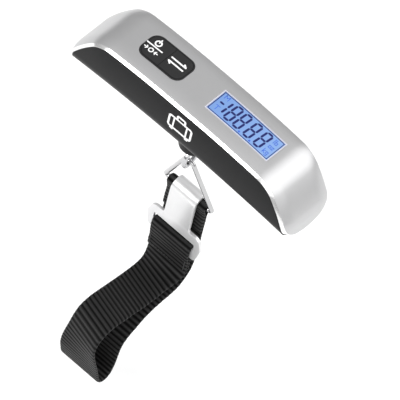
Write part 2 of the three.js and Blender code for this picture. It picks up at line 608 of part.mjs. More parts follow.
place('keypad_bezel', keypadBezel(), KEY_BLACK);
place('power_key', key(-1), KEY_BLACK);
place('unit_key', key(1), KEY_BLACK);
place('power_switch', keySwitch(-1), WHITE_PLASTIC);
place('unit_switch', keySwitch(1), WHITE_PLASTIC);

place('lcd_lens', lcdLens(), CLEAR);
place('lcd_panel', lcdPanel(), BACKLIT);
place('lcd_backlight', lcdBacklight(), WHITE_PLASTIC);
place('lcd_frame', lcdFrame(), WHITE_PLASTIC);
place('zebra_strip', zebraStrip(), RUBBER);

place('circuit_board', circuitBoard(), GREEN_BOARD);
place('controller_chip', box(-5, 5, -5, 5, BOARD.top - BOARD.thick - 1.8, BOARD.top - BOARD.thick - 0.1), KEY_BLACK);
BOARD_SCREWS.forEach(([x, y], i) => {
  place(`board_screw_${i + 1}`, screw(x, y, BOARD.top - BOARD.thick - 0.1, 22.5, 0.9, 2, 1.2), STEEL);
});
place('battery_holder', batteryHolder(), BLACK);
place('coin_cell', coinCell(), STEEL);
place('battery_contact_positive', positiveContact(), SPRING_STEEL);
place('battery_contact_negative', negativeContact(), SPRING_STEEL);

place('load_cell', loadCell(), ALUMINIUM);
[-LOAD_BAR.screw, LOAD_BAR.screw].forEach((x, i) => {
  place(`load_cell_screw_${i + 1}`, screw(x, 0, LOAD_BAR.top + 0.1, -4.6, 1.5, 3, 2), STEEL);
});
place('strain_gauge', box(8, 15, -2.5, 2.5, LOAD_BAR.top + 0.05, LOAD_BAR.top + 0.3), GAUGE_FILM);
place('load_cell_cable', cellCable(), WHITE_PLASTIC);
place('battery_lead_positive', positiveLead(), RED_WIRE);
place('battery_lead_negative', negativeLead(), BLACK_WIRE);

place('load_eye', loadEye(), STEEL);
place('shaft_nut', shaftNut(), STEEL);
place('thrust_washer', thrustWasher(), STEEL);
place('wire_ring', wireRing(), STEEL);
place('hook_plate', hookPlate(), STEEL);
place('strap_loop', strapLoop(), WEBBING);
place('strap_hook_end', strapHookEnd(), WEBBING);

export default scale;
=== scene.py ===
import json
import math
import random

import bmesh
import bpy
import numpy as np
from mathutils import Matrix, Vector

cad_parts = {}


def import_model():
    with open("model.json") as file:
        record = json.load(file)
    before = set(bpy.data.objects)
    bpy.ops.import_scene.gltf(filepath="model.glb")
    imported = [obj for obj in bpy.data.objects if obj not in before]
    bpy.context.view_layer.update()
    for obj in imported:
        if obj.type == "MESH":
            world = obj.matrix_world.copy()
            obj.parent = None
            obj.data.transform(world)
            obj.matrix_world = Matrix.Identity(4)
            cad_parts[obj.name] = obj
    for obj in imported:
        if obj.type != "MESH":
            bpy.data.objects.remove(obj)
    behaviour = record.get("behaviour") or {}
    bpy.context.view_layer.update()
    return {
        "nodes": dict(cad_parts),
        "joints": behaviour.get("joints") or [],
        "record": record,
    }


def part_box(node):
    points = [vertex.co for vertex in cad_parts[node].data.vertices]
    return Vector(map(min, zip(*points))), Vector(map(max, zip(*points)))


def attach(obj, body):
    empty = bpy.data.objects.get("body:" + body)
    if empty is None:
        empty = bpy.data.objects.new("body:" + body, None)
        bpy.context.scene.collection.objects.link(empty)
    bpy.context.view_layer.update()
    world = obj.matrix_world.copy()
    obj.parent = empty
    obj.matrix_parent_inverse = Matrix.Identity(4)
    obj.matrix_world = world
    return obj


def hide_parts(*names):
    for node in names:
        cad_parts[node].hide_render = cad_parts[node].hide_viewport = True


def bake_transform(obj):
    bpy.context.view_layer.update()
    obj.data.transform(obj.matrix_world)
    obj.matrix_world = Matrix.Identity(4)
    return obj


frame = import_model()
BODIES = {node: body for body, nodes in frame["record"]["behaviour"]["bodies"].items() for node in nodes}

# ---- dimensions, in millimetres ----
# Shapes are written in handle space: as the row frame, but with Z = 0 at the side faces' points.
MM = 0.001
HALF_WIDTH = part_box("top_shell")[1].y / MM
SIDE_TOP = 24.0
RIM_WIDTH, RIM_HEIGHT, RIM_EDGE = 1.5, 1.5, 0.3
CROWN_HEIGHT, CROWN_FLAT = 1.6, 9.5
TOP = SIDE_TOP + RIM_HEIGHT + CROWN_HEIGHT
SHELL_WALL = 1.9
FLAT_HALF = 10.0
BOW_RADIUS, BOW_END = 512.0, 53.8
BOW_SLOPE = (BOW_END - FLAT_HALF) / BOW_RADIUS
BEND_SLOPE, POINT_SLOPE, TONGUE_SLOPE = math.radians(50), math.radians(62), math.radians(88)
ARCS = [(BOW_RADIUS, 0.0, BOW_SLOPE), (18.0, BOW_SLOPE, BEND_SLOPE), (85.0, BEND_SLOPE, POINT_SLOPE),
        (12.0, POINT_SLOPE, TONGUE_SLOPE)]
BELLY_DEPTH, BELLY_ARCH, BELLY_HALF = 14.0, 3.4, 77.3
BASE_WALL, SEAM = 2.0, 0.2
NECK_RADIUS, NECK_FLANGE = 8.7, 10.0
WIRE = 1.4  # the ring wire's radius
WEB_HALF, WEB_THICK, RIB_PITCH = 14.2, 1.6, 2.9


def node_box(node):
    """A CAD node's lowest and highest corners in handle space."""
    low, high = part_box(node)
    lift = np.array([0, 0, TOP])
    return np.array(low) / MM + lift, np.array(high) / MM + lift


# ---- mesh helpers ----
def row(point):
    return (point[0] * MM, point[1] * MM, (point[2] - TOP) * MM)


def add_object(name, data):
    obj = bpy.data.objects.new(name, data)
    bpy.context.scene.collection.objects.link(obj)
    return obj


def make(name, points, faces):
    mesh = bpy.data.meshes.new(name)
    mesh.from_pydata([row(p) for p in points], [], faces)
    mesh.validate()
    return add_object(name, mesh)


def face_out(obj):
    """Turns every face of a closed mesh outwards."""
    bm = bmesh.new()
    bm.from_mesh(obj.data)
    bmesh.ops.recalc_face_normals(bm, faces=bm.faces)
    bm.to_mesh(obj.data)
    bm.free()
    return obj


def bake(obj):
    """Applies every modifier of a piece."""
    graph = bpy.context.evaluated_depsgraph_get()
    mesh = bpy.data.meshes.new_from_object(obj.evaluated_get(graph))
    obj.modifiers.clear()
    obj.data = mesh
    return obj


def boolean(obj, others, operation="DIFFERENCE"):
    for other in others:
        step = obj.modifiers.new("cut", "BOOLEAN")
        step.operation = operation
        step.object = other
        step.solver = "EXACT"
    bake(obj)
    for other in others:
        bpy.data.objects.remove(other)
    return obj


def add_bevel(obj, width, angle, segments):
    step = obj.modifiers.new("round", "BEVEL")
    step.width = width * MM
    step.segments = segments
    step.limit_method = "ANGLE"
    step.angle_limit = math.radians(angle)


def soften(obj, width, angle=30, segments=2, smooth=40):
    """Rounds the sharp edges by a width in millimetres and shades the rest smooth."""
    add_bevel(obj, width, angle, segments)
    bake(obj)
    return shade(obj, smooth)


def shade(obj, angle):
    obj.data.shade_smooth()
    obj.data.set_sharp_from_angle(angle=math.radians(angle))
    return obj


def slab(name, upper, lower):
    """A closed solid between two surfaces that share one grid."""
    upper, lower = np.array(upper, float), np.array(lower, float)
    rows, columns = upper.shape[:2]
    up = np.arange(rows * columns).reshape(rows, columns)
    low = up + rows * columns
    faces = []
    for i in range(rows - 1):
        for j in range(columns - 1):
            faces.append((up[i, j], up[i + 1, j], up[i + 1, j + 1], up[i, j + 1]))
            faces.append((low[i, j], low[i, j + 1], low[i + 1, j + 1], low[i + 1, j]))
        faces.append((low[i, 0], low[i + 1, 0], up[i + 1, 0], up[i, 0]))
        faces.append((up[i, -1], up[i + 1, -1], low[i + 1, -1], low[i, -1]))
    for j in range(columns - 1):
        faces.append((low[0, j + 1], low[0, j], up[0, j], up[0, j + 1]))
        faces.append((low[-1, j], low[-1, j + 1], up[-1, j + 1], up[-1, j]))
    points = np.concatenate([upper.reshape(-1, 3), lower.reshape(-1, 3)])
    return face_out(make(name, points.tolist(), [tuple(int(k) for k in f) for f in faces]))


def prism(name, outline, axis, low, high):
    """An outline in the two other axes, in X, Y, Z order, carried along an axis."""
    count = len(outline)

    def at(a, b, c):
        values = [a, b]
        values.insert(axis, c)
        return values

    points = [at(a, b, low) for a, b in outline] + [at(a, b, high) for a, b in outline]
    faces = [tuple(range(count)), tuple(range(2 * count - 1, count - 1, -1))]
    faces += [(i, (i + 1) % count, count + (i + 1) % count, count + i) for i in range(count)]
    return face_out(make(name, points, faces))


def block(x0, x1, y0, y1, z0, z1):
    return prism("block", [(x0, y0), (x1, y0), (x1, y1), (x0, y1)], 2, z0, z1)


def circle(a, b, radius, sides=64):
    return [(a + radius * math.cos(2 * math.pi * k / sides), b + radius * math.sin(2 * math.pi * k / sides))
            for k in range(sides)]


def post(x, y, z0, z1, radius, sides=48):
    return prism("post", circle(x, y, radius, sides), 2, z0, z1)


def rounded_rect(x0, x1, y0, y1, radius, steps=12):
    corners = [(x1 - radius, y0 + radius, -90), (x1 - radius, y1 - radius, 0), (x0 + radius, y1 - radius, 90),
               (x0 + radius, y0 + radius, 180)]
    outline = []
    for cx, cy, start in corners:
        for k in range(steps + 1):
            a = math.radians(start + 90 * k / steps)
            outline.append((cx + radius * math.cos(a), cy + radius * math.sin(a)))
    return outline


def tube_faces(rings, sides, closed=False):
    """The faces between rings of points, with a cap at each end unless the last ring meets the first."""
    faces = []
    for i in range(rings if closed else rings - 1):
        j = (i + 1) % rings
        for k in range(sides):
            n = (k + 1) % sides
            faces.append((i * sides + k, i * sides + n, j * sides + n, j * sides + k))
    if not closed:
        faces.append(tuple(range(sides)))
        faces.append(tuple(range(rings * sides - 1, (rings - 1) * sides - 1, -1)))
    return faces


def lathe(name, outline, sides=72, closed=False):
    """Turns [radius, z] pairs about the upright axis; a closed outline makes a bored piece."""
    points = [(x, y, z) for r, z in outline for x, y in circle(0, 0, r, sides)]
    return face_out(make(name, points, tube_faces(len(outline), sides, closed)))


def fillet(corners, steps=8):
    """Rounds a polygon given as (x, y, radius) corners."""
    outline = []
    count = len(corners)
    for i, (x, y, radius) in enumerate(corners):
        here = Vector((x, y))
        before = Vector(corners[i - 1][:2]) - here
        after = Vector(corners[(i + 1) % count][:2]) - here
        before.normalize()
        after.normalize()
        half = before.angle(after) / 2
        reach = radius / math.tan(half)
        centre = here + (before + after).normalized() * (radius / math.sin(half))
        start, end = here + before * reach - centre, here + after * reach - centre
        turn = start.angle_signed(end)
        for k in range(steps + 1):
            a = -turn * k / steps
            c, s = math.cos(a), math.sin(a)
            outline.append((centre.x + start.x * c - start.y * s, centre.y + start.x * s + start.y * c))
    return outline


def join(name, objects):
    """Makes one piece of several."""
    bm = bmesh.new()
    for obj in objects:
        bm.from_mesh(obj.data)
    mesh = bpy.data.meshes.new(name)
    bm.to_mesh(mesh)
    bm.free()
    for obj in objects:
        bpy.data.objects.remove(obj)
    return add_object(name, mesh)


# ---- materials ----
def shader(tree, kind, inputs, **settings):
    """A shader node with its settings; each input gets a value, or a link from another node's output."""
    node = tree.nodes.new("ShaderNode" + kind)
    for key, value in settings.items():
        setattr(node, key, value)
    feed(tree, node, inputs)
    return node


def feed(tree, node, inputs):
    """Gives a node's inputs their values and links."""
    for key, value in inputs.items():
        if isinstance(value, bpy.types.NodeSocket):
            tree.links.new(value, node.inputs[key])
        else:
            node.inputs[key].default_value = value


def new_material(name):
    """A material with its node tree and its principled node."""
    made = bpy.data.materials.new(name)
    made.use_nodes = True
    return made, made.node_tree, made.node_tree.nodes["Principled BSDF"]


def shaded(color, factor):
    return (*[min(c * factor, 1) for c in color], 1)


def material(name, color, roughness, metallic=0.0, grain=0.0, scale=400.0, bump=0.0, mottle=0.0, specular=0.5,
             sheen=0.0, stretch=(1, 1, 1)):
    """A principled material whose colour, roughness and height vary with noise."""
    made, tree, node = new_material(name)
    place = shader(tree, "TexCoord", {}).outputs["Object"]
    mapping = shader(tree, "Mapping", {"Scale": stretch, "Vector": place})
    noise = shader(tree, "TexNoise", {"Scale": scale, "Detail": 6, "Vector": mapping.outputs["Vector"]})
    wear = shader(tree, "TexNoise", {"Scale": scale / 12, "Detail": 3, "Vector": place})
    rough = shader(tree, "MapRange", {"To Min": max(roughness - grain, 0.02), "To Max": roughness + grain,
                                      "Value": noise.outputs["Fac"]})
    mix = shader(tree, "Mix", {"A": shaded(color, 1 - mottle), "B": shaded(color, 1 + mottle),
                               "Factor": wear.outputs["Fac"]}, data_type="RGBA")
    relief = shader(tree, "Bump", {"Strength": bump, "Distance": 0.2 * MM, "Height": noise.outputs["Fac"]})
    feed(tree, node, {"Metallic": metallic, "Specular IOR Level": specular, "Sheen Weight": sheen,
                      "Roughness": rough.outputs["Result"], "Base Color": mix.outputs["Result"],
                      "Normal": relief.outputs["Normal"]})
    return made


def webbing_material():
    """Black nylon: lengthwise yarns crossing the ribs, from the strap's own width and length coordinates, with painted
    shade in the valleys between the ribs.
    """
    made = material("webbing_nylon", (0.005, 0.005, 0.0055), 0.6, grain=0.08, scale=2500, bump=0.3, mottle=0.25,
                    specular=0.3, sheen=0.03)
    tree = made.node_tree
    node = tree.nodes["Principled BSDF"]
    node.inputs["Sheen Roughness"].default_value = 0.4
    place = shader(tree, "UVMap", {}, uv_map="weave")
    split = shader(tree, "SeparateXYZ", {"Vector": place.outputs["UV"]})

    def wave(output, per_mm, phase=0.0):
        turn = shader(tree, "Math", {0: split.outputs[output], 1: 2 * math.pi * per_mm, 2: phase},
                      operation="MULTIPLY_ADD")
        return shader(tree, "Math", {0: turn.outputs[0]}, operation="SINE").outputs[0]

    yarns, picks = wave("X", 1.55), wave("Y", 0.72)
    product = shader(tree, "Math", {0: yarns, 1: picks}, operation="MULTIPLY")
    total = shader(tree, "Math", {0: yarns, 1: product.outputs[0]})
    fuzz = node.inputs["Normal"].links[0].from_socket
    relief = shader(tree, "Bump", {"Strength": 0.5, "Distance": 0.12 * MM, "Height": total.outputs[0], "Normal": fuzz})
    tree.links.new(relief.outputs["Normal"], node.inputs["Normal"])
    # Painted shade: the base colour and the specular level follow the ribs, darkest in the valleys between them and
    # lightest on the crests.
    rib_shade_wave = wave("Y", 1 / RIB_PITCH, -math.pi / 2)
    for low, high, target in ((0.001, 0.009, "Base Color"), (0.04, 0.42, "Specular IOR Level")):
        level = shader(tree, "MapRange", {"From Min": -1, "To Min": low, "To Max": high, "Value": rib_shade_wave})
        tree.links.new(level.outputs["Result"], node.inputs[target])
    return made


def display_material(name, left, right, strength):
    """The backlit display: a faintly uneven blue that grows paler to the right."""
    made, tree, node = new_material(name)
    place = shader(tree, "TexCoord", {}).outputs["Object"]
    split = shader(tree, "SeparateXYZ", {"Vector": place})
    low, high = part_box("lcd_lens")
    along = shader(tree, "MapRange", {"From Min": low.x, "From Max": high.x, "Value": split.outputs["X"]})
    mix = shader(tree, "Mix", {"A": (*left, 1), "B": (*right, 1), "Factor": along.outputs["Result"]},
                 data_type="RGBA")
    noise = shader(tree, "TexNoise", {"Scale": 90, "Vector": place})
    level = shader(tree, "MapRange", {"To Min": strength * 0.92, "To Max": strength * 1.08,
                                      "Value": noise.outputs["Fac"]})
    feed(tree, node, {"Roughness": 0.12, "Base Color": shaded(left, 0.25), "Emission Color": mix.outputs["Result"],
                      "Emission Strength": level.outputs["Result"]})
    return made


SILVER = material("silver_paint", (0.52, 0.52, 0.525), 0.36, 0.78, grain=0.05, scale=3000, bump=0.05, mottle=0.02)
RIM = material("polished_rim", (0.9, 0.9, 0.9), 0.16, 0.9, grain=0.03, scale=1500, bump=0.02, mottle=0.01)
HOUSING = material("housing_plastic", (0.007, 0.007, 0.0075), 0.42, grain=0.06, scale=2200, bump=0.12, mottle=0.08,
                   specular=0.14)
KEYS = material("key_plastic", (0.010, 0.010, 0.0105), 0.36, grain=0.06, scale=2600, bump=0.08, mottle=0.08)
PRINT = material("white_print", (0.82, 0.82, 0.82), 0.5, grain=0.05, scale=3000, bump=0.05, mottle=0.03)
CHROME = material("hook_chrome", (0.70, 0.70, 0.705), 0.3, 0.5, grain=0.05, scale=900, bump=0.01, mottle=0.02,
                  stretch=(1, 1, 0.08))
WIRE_STEEL = material("ring_chrome", (0.5, 0.5, 0.505), 0.16, 1.0, grain=0.04, scale=1600, bump=0.04, mottle=0.05)
EYE_STEEL = material("eye_steel", (0.5, 0.5, 0.51), 0.2, 1.0, grain=0.07, scale=1400, bump=0.06, mottle=0.06)
NYLON = webbing_material()
THREAD = material("thread", (0.011, 0.011, 0.012), 0.55, grain=0.08, scale=5000, bump=0.3, mottle=0.2, sheen=0.1)
DISPLAY = display_material("display_blue", (0.19, 0.34, 0.70), (0.28, 0.45, 0.80), 0.76)
SEGMENT = material("segment_ink", (0.006, 0.01, 0.10), 0.2, grain=0.02, scale=800, mottle=0.1)
SEGMENT_FAINT = material("segment_ink_faint", (0.05, 0.13, 0.55), 0.2, grain=0.02, scale=800, mottle=0.1)
LIP = material("display_lip", (0.5, 0.5, 0.56), 0.35, grain=0.04, scale=1500, bump=0.04, mottle=0.03)
INNER = {
    "white_plastic": material("white_moulding", (0.8, 0.8, 0.78), 0.45, grain=0.05, scale=900, bump=0.05, mottle=0.04),
    "elastomer": material("zebra_rubber", (0.3, 0.3, 0.34), 0.8, grain=0.06, scale=2500, bump=0.2, mottle=0.2),
    "board_green": material("solder_mask", (0.02, 0.16, 0.06), 0.3, grain=0.05, scale=600, bump=0.1, mottle=0.25),
    "steel": material("plated_steel", (0.58, 0.58, 0.6), 0.28, 1.0, grain=0.08, scale=1200, bump=0.05, mottle=0.06),
    "spring_brass": material("spring_brass", (0.75, 0.58, 0.25), 0.3, 1.0, grain=0.06, scale=1100, mottle=0.08),
    "cell_aluminium": material("milled_aluminium", (0.7, 0.71, 0.73), 0.35, 1.0, grain=0.1, scale=700, bump=0.1,
                               mottle=0.04, stretch=(0.05, 1, 1)),
    "gauge_film": material("gauge_film", (0.55, 0.25, 0.05), 0.4, grain=0.05, scale=1500, mottle=0.15),
    "lead_red": material("red_insulation", (0.45, 0.02, 0.02), 0.45, grain=0.05, scale=900, mottle=0.08),
    "lead_black": material("black_insulation", (0.015, 0.015, 0.015), 0.45, grain=0.05, scale=900, mottle=0.1),
    "display_glass": material("display_rear_glass", (0.12, 0.2, 0.5), 0.15, grain=0.03, scale=500, mottle=0.08),
    "key_plastic": KEYS,
    "black_housing": HOUSING,
}


def dress(obj, *materials):
    obj.data.materials.clear()
    for one in materials:
        obj.data.materials.append(one)
    return obj


def finish_piece(obj, node, slot, *materials, replaces=True):
    """Gives a piece its materials and the body of the CAD node it stands for, and hides that node when the piece
    replaces it.
    """
    if materials:
        dress(obj, *materials)
    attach(obj, BODIES[node])
    if replaces:
        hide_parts(node)
    return obj


# ---- the handle's side profile ----
def profile(distance):
    """The side face's top edge at a distance from mid-length: X, Z and slope."""
    x = min(distance, FLAT_HALF)
    z = SIDE_TOP
    left = distance - x
    slope = 0.0
    for radius, start, end in ARCS:
        turn = min(left / radius, end - start)
        slope = start + turn
        x += radius * (math.sin(slope) - math.sin(start))
        z -= radius * (math.cos(start) - math.cos(slope))
        left -= turn * radius
        if left <= 1e-9:
            return x, z, slope
    return x + left * math.cos(slope), z - left * math.sin(slope), slope


def surface(distance, y, height):
    """A point at a height above the profile, square to it, at a signed distance along the handle."""
    x, z, slope = profile(abs(distance))
    side = -1 if distance < 0 else 1
    return (side * (x + height * math.sin(slope)), y, z + height * math.cos(slope))


POINT = FLAT_HALF + sum((end - start) * radius for radius, start, end in ARCS[:3])


def stations(end, fine=0.8, coarse=1.2):
    """Distances along the handle, close together where it bends."""
    marks = [0.0]
    while marks[-1] < end:
        marks.append(min(marks[-1] + (coarse if marks[-1] < BOW_END - 3 else fine), end))
    return [-m for m in reversed(marks[1:])] + marks


def skin(y):
    """Height of the shell's outer skin above the profile."""
    t = max(abs(y) - CROWN_FLAT, 0) / (HALF_WIDTH - RIM_WIDTH - CROWN_FLAT)
    return RIM_HEIGHT + CROWN_HEIGHT * (1 - t * t)


def top_z(x):
    """Height of the skin over a point near the middle of the handle's width."""
    return surface(x, 0, skin(0))[2]


def layer(name, above, below, x0, x1, half=10.0):
    """A layer of the shell between two depths under its outer skin."""
    rows = np.linspace(x0, x1, int((x1 - x0) / 1.2) + 2)
    columns = np.linspace(-half, half, 9)
    sheets = [[[surface(s, y, skin(y) - depth) for y in columns] for s in rows] for depth in (above, below)]
    return slab(name, *sheets)


def envelope(depth):
    """Everything below a surface that lies a depth under the side profile."""
    floor = -30.0
    outline = [surface(s, 0, -depth) for s in stations(POINT + 26)]
    outline = [(p[0], p[2]) for p in outline]
    last = outline[-1][0]
    return prism("envelope", outline + [(last, floor), (-last, floor)], 1, -30, 30)


def section(name, inset, x0, x1, top, steps=50, arc=56):
    """The handle's D section, inset by a wall."""
    half, depth = HALF_WIDTH - inset, BELLY_DEPTH - inset
    upper, lower = [], []
    for x in np.linspace(x0, x1, steps):
        low = BELLY_ARCH * (1 - (x / BELLY_HALF) ** 2)
        turn = [math.pi * j / arc for j in range(arc + 1)]
        upper.append([(x, -half * math.cos(a), top) for a in turn])
        lower.append([(x, -half * math.cos(a), low - depth * math.sin(a)) for a in turn])
    return slab(name, upper, lower)


# ---- shell and housing ----
SHELL_SCREWS = [(-57, -9), (-57, 9), (57, -9), (57, 9)]
BOARD_SCREWS = [(-3.5, -10), (-3.5, 10)]
BOSS_BOTTOM = 12.0
BOARD_TOP = node_box("circuit_board")[1][2]
KEYPAD_LOW, KEYPAD_HIGH = node_box("keypad_bezel")
LENS_LOW, LENS_HIGH = node_box("lcd_lens")
DOOR_LOW, DOOR_HIGH = node_box("battery_door")
LIP_WIDTH = 0.95  # from the window's edge to the lens
KEYPAD_CORNER = 5.6
CELL_SCREW_X = 21.0
DOOR_START, DOOR_END, DOOR_GAP = 28.0, 56.0, 0.35  # the opening in the housing, and the door's clearance in it
FAR = 40.0  # above the whole handle, where a cutter ends


def top_shell():
    """The silver skin with its polished rim, rounded ends, screw bosses and two openings."""
    edge = HALF_WIDTH - RIM_WIDTH
    marks = np.concatenate([np.linspace(-1, -0.6, 11), np.linspace(-0.5, 0.5, 7), np.linspace(0.6, 1, 11)])
    upper, lower = [], []

    def ring(outer, inner, half, top):
        inside = marks * top
        upper.append([surface(outer, -half, RIM_EDGE)] + [surface(inner, y, skin(y)) for y in inside]
                     + [surface(outer, half, RIM_EDGE)])
        lower.append([surface(outer, -half, 0)]
                     + [surface(inner, y * 0.985, max(0, skin(y) - SHELL_WALL)) for y in inside]
                     + [surface(outer, half, 0)])

    turns = [math.pi / 2 * t for t in (0.06, 0.13, 0.2, 0.27, 0.34, 0.41, 0.48, 0.55, 0.62, 0.69, 0.76, 0.83, 0.89,
                                       0.94, 0.975)]
    ends = [(POINT + BELLY_DEPTH * math.sin(a), POINT + (BELLY_DEPTH - RIM_WIDTH) * math.sin(a),
             HALF_WIDTH * math.cos(a), edge * math.cos(a)) for a in turns]
    for outer, inner, half, top in reversed(ends):
        ring(-outer, -inner, half, top)
    for s in stations(POINT):
        ring(s, s, HALF_WIDTH, edge)
    for outer, inner, half, top in ends:
        ring(outer, inner, half, top)
    shell = slab("shell", upper, lower)
    dress(shell, SILVER, RIM)
    columns = len(marks) + 2
    for face in shell.data.polygons:
        if max(face.vertices) < len(upper) * columns and {v % columns for v in face.vertices} & {0, columns - 1}:
            face.material_index = 1
    bosses = [boolean(post(x, y, BOSS_BOTTOM, TOP, 3), [envelope(-1.6)], "INTERSECT") for x, y in SHELL_SCREWS]
    bosses += [post(x, y, BOARD_TOP + SEAM, TOP - 1, 2.6) for x, y in BOARD_SCREWS]
    boolean(shell, bosses, "UNION")
    holes = [post(x, y, BOSS_BOTTOM - 1, 18, 1.3) for x, y in SHELL_SCREWS]
    holes += [post(x, y, BOARD_TOP - 1, 23.5, 1.2) for x, y in BOARD_SCREWS]
    holes.append(block(LENS_LOW[0] - LIP_WIDTH, LENS_HIGH[0] + LIP_WIDTH, LENS_LOW[1] - LIP_WIDTH,
                       LENS_HIGH[1] + LIP_WIDTH, 18, FAR))
    margin = 0.15
    keys = rounded_rect(KEYPAD_LOW[0] - margin, KEYPAD_HIGH[0] + margin, KEYPAD_LOW[1] - margin,
                        KEYPAD_HIGH[1] + margin, KEYPAD_CORNER, 16)
    holes.append(prism("keys", keys, 2, 18, FAR))
    boolean(shell, holes)
    soften(shell, 0.22, angle=9)
    return finish_piece(shell, "top_shell", "silver_shell")


def pocket():
    outline = [(60, 40), (60, 17.5), (66, 10), (71, 1), (72.6, -6), (72.6, -20)]
    return prism("pocket", outline + [(-x, z) for x, z in reversed(outline)], 1, -30, 30)


def base_housing():
    """The black housing: a hollow D section with posts for the screws, the neck's hole and the door's opening."""
    base = boolean(section("housing", 0, -80, 80, FAR), [envelope(SEAM)], "INTERSECT")
    hollow = boolean(section("hollow", BASE_WALL, -80, 80, FAR), [pocket()], "INTERSECT")
    boolean(base, [hollow])
    ribs = [post(x, y, -9, BOSS_BOTTOM - SEAM, 3.6) for x, y in SHELL_SCREWS]
    ribs.append(post(0, 0, -12, -5.5, NECK_FLANGE + 1))
    bar_low = node_box("load_cell")[0][2]
    ribs += [block(x - 5, x + 5, -6.5, 6.5, -10, bar_low - 0.1) for x in (-CELL_SCREW_X, CELL_SCREW_X)]
    ribs = [boolean(rib, [section("outside", 0, -80, 80, FAR)], "INTERSECT") for rib in ribs]
    boolean(base, ribs, "UNION")
    holes = [post(x, y, -20, -2, 2.9) for x, y in SHELL_SCREWS]
    holes += [post(x, y, -4, 20, 1.7) for x, y in SHELL_SCREWS]
    holes += [post(x, 0, -5, 5, 1.8) for x in (-CELL_SCREW_X, CELL_SCREW_X)]
    holes.append(post(0, 0, -20, 0, NECK_RADIUS + 0.3, 72))
    holes.append(block(DOOR_START, DOOR_END, DOOR_LOW[1] - DOOR_GAP, DOOR_HIGH[1] + DOOR_GAP, -30, -2))
    boolean(base, holes)
    soften(base, 0.3, angle=32)
    return finish_piece(base, "base_housing", "black_housing", HOUSING)


def battery_door():
    """The door in the belly, with two hooks at its inner edge and four grip grooves."""
    start, end = DOOR_START + DOOR_GAP, DOOR_END - DOOR_GAP
    door = section("door", 0, start, end, FAR, steps=12)
    boolean(door, [section("inner", 1.8, DOOR_START, DOOR_END, FAR + 1, steps=12)])
    boolean(door, [block(start, end, DOOR_LOW[1], DOOR_HIGH[1], -30, -2)], "INTERSECT")
    hooks = []
    for y in (-4, 4):
        hooks.append(block(start, 30.0, y - 1.8, y + 1.8, -10, -6.6))
        hooks.append(block(26.2, 30.0, y - 1.8, y + 1.8, -7.8, -6.6))
    boolean(door, hooks, "UNION")
    grooves = [block(52.6 - 1.1 * k, 53.1 - 1.1 * k, -5, 5, -20, -10.9 + 0.02 * k) for k in range(4)]
    boolean(door, grooves)
    soften(door, 0.2, angle=32)
    return finish_piece(door, "battery_door", "black_housing", HOUSING)


def neck_collar():
    """The round neck under the housing, with a well-rounded lower rim."""
    low, high = node_box("neck_collar")
    rim, bore = 1.7, 3.2
    outline = [(bore, low[2]), (NECK_RADIUS - rim, low[2])]
    for k in range(1, 13):
        a = math.pi / 2 * k / 12
        outline.append((NECK_RADIUS - rim + rim * math.sin(a), low[2] + rim - rim * math.cos(a)))
    outline += [(NECK_RADIUS, -5.2), (NECK_FLANGE, -5.2), (NECK_FLANGE, high[2]), (bore, high[2])]
    collar = shade(lathe("neck", outline, closed=True), 40)
    return finish_piece(collar, "neck_collar", "black_housing", HOUSING)


# ---- keys and display ----
KEY_CENTRE = (KEYPAD_LOW[0] + KEYPAD_HIGH[0]) / 2
KEY_FRAME = 0.75


def key_outline(inset):
    return rounded_rect(KEYPAD_LOW[0] + inset, KEYPAD_HIGH[0] - inset, KEYPAD_LOW[1] + inset,
                        KEYPAD_HIGH[1] - inset, KEYPAD_CORNER - inset, 16)


def keypad_bezel():
    bezel = layer("keypad_rim", -0.1, 2.4, KEYPAD_LOW[0] - 2, KEYPAD_HIGH[0] + 2)
    boolean(bezel, [prism("outer", key_outline(0), 2, 10, FAR)], "INTERSECT")
    boolean(bezel, [prism("inner", key_outline(KEY_FRAME), 2, 10, FAR)])
    soften(bezel, 0.12)
    return finish_piece(bezel, "keypad_bezel", "key_plastic", KEYS)


def key(node, side):
    split = 0.15
    cap = layer(node + "_cap", -0.2, 3.4, KEYPAD_LOW[0] - 2, KEYPAD_HIGH[0] + 2)
    boolean(cap, [prism("outline", key_outline(KEY_FRAME + 0.3), 2, 10, FAR)], "INTERSECT")
    spare = (block(KEY_CENTRE - split, 0, -20, 20, 5, 45) if side < 0
             else block(-60, KEY_CENTRE + split, -20, 20, 5, 45))
    boolean(cap, [spare])
    boolean(cap, [post(KEY_CENTRE + side * 6.6, 0, BOARD_TOP + 4.9, 24, 1.8)], "UNION")
    soften(cap, 0.16)
    return finish_piece(cap, node, "key_plastic", KEYS)


def flat_shape(outline, lift, thick=0.06):
    """A thin closed tile that lies on the skin."""
    outline = list(outline)
    count = len(outline)
    points = [(x, y, top_z(x) + lift + dz) for dz in (-thick, thick / 2) for x, y in outline]
    faces = [tuple(range(count - 1, -1, -1)), tuple(range(count, 2 * count))]
    faces += [(i, (i + 1) % count, count + (i + 1) % count, count + i) for i in range(count)]
    return face_out(make("tile", points, faces))


def capsule(a, b, width, steps=6):
    """The outline of a round-ended stroke."""
    a, b = Vector(a), Vector(b)
    angle = math.atan2(b.y - a.y, b.x - a.x)
    outline = []
    for centre, start in ((b, angle - math.pi / 2), (a, angle + math.pi / 2)):
        for k in range(steps + 1):
            t = start + math.pi * k / steps
            outline.append((centre.x + width / 2 * math.cos(t), centre.y + width / 2 * math.sin(t)))
    return outline


def ring_shape(x, y, outer, inner, lift, sides=40, thick=0.06):
    points, faces = [], []
    for dz in (-thick, thick / 2):
        for radius in (outer, inner):
            points += [(px, py, top_z(px) + lift + dz) for px, py in circle(x, y, radius, sides)]
    for k in range(sides):
        n = (k + 1) % sides
        a, b, c, d = 0, sides, 2 * sides, 3 * sides
        faces += [(a + k, a + n, b + n, b + k), (c + k, c + n, d + n, d + k), (a + k, a + n, c + n, c + k),
                  (b + k, b + n, d + n, d + k)]
    return face_out(make("ring", points, faces))


def strokes(lines, width, lift):
    """Tiles for polylines, one round-ended tile for each leg."""
    tiles = []
    for line in lines:
        for a, b in zip(line[:-1], line[1:]):
            tiles.append(flat_shape(capsule(a, b, width), lift))
    return tiles


